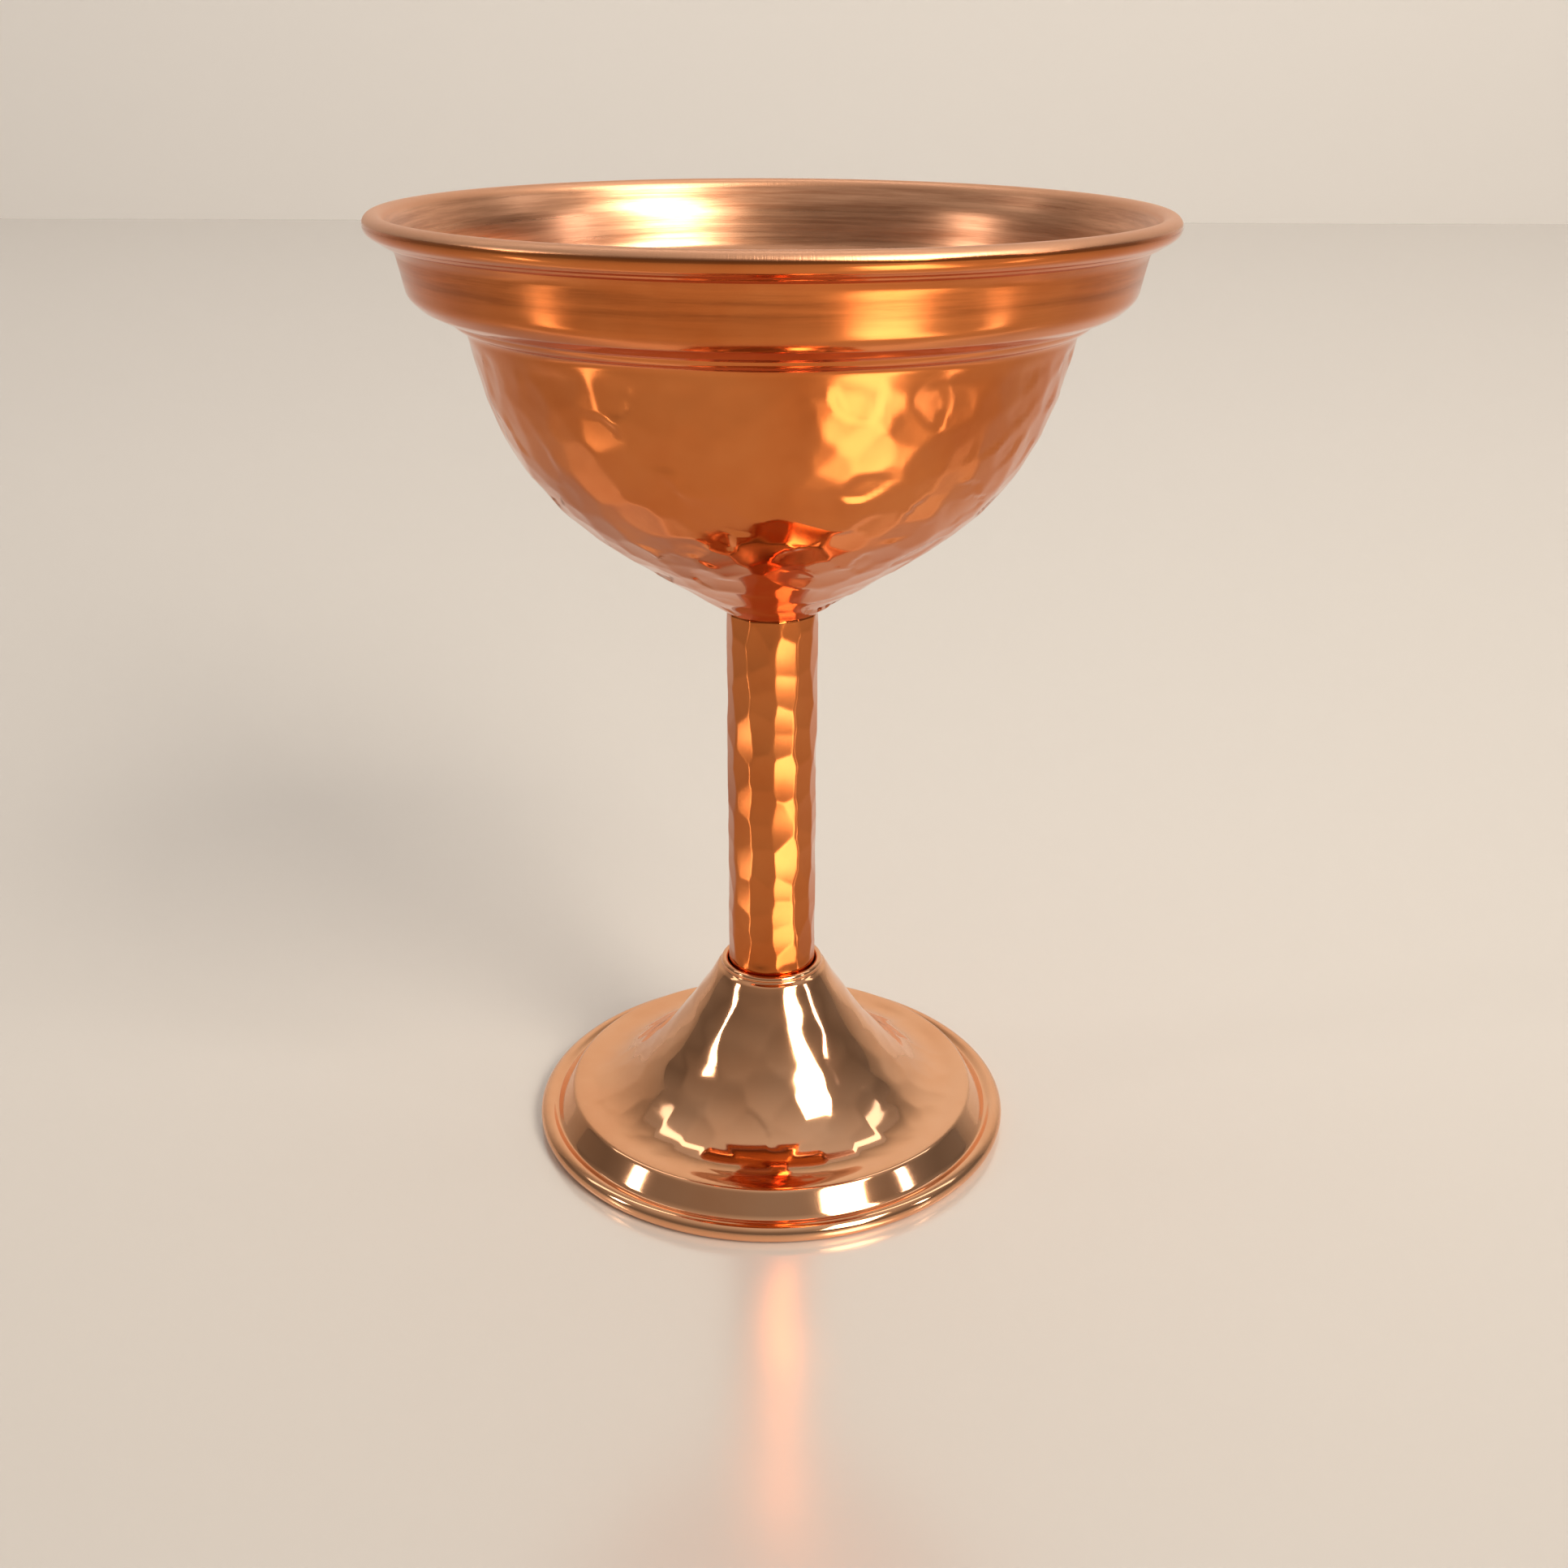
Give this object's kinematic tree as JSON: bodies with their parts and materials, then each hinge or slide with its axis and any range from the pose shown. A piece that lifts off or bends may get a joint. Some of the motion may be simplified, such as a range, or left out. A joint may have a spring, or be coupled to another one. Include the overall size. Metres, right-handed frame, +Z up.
{
  "type": "stem cup",
  "caption": "Hammered copper stem cup: wide spun bowl with a rolled rim and stepped collar, on a tube stem and a flared round foot, drawn together by a hidden tie rod.",
  "frame": {"origin": "on the axis of symmetry, in the plane that the foot stands on", "axes": "+Z up along the axis of symmetry, from the foot to the rim; the cup is the same all round, so +X and +Y are free"},
  "size_m": [0.127, 0.127, 0.1655],
  "materials": {
    "hammered_copper": "hammered and polished copper, brushed on the collar and inside",
    "polished_copper": "mirror-polished copper with soft planishing marks",
    "copper_wire": "drawn copper wire",
    "turned_brass": "turned brass",
    "zinc_steel": "zinc-plated steel"
  },
  "bodies": {
    "root": {"bowl": "hammered_copper", "rim_wire": "copper_wire", "bowl_boss": "turned_brass", "stem_tube": "hammered_copper", "tie_rod": "zinc_steel", "foot": "polished_copper", "foot_wire": "copper_wire", "foot_bush": "turned_brass", "flat_washer": "zinc_steel", "spring_washer": "zinc_steel", "hex_nut": "zinc_steel"}
  },
  "joints": []
}
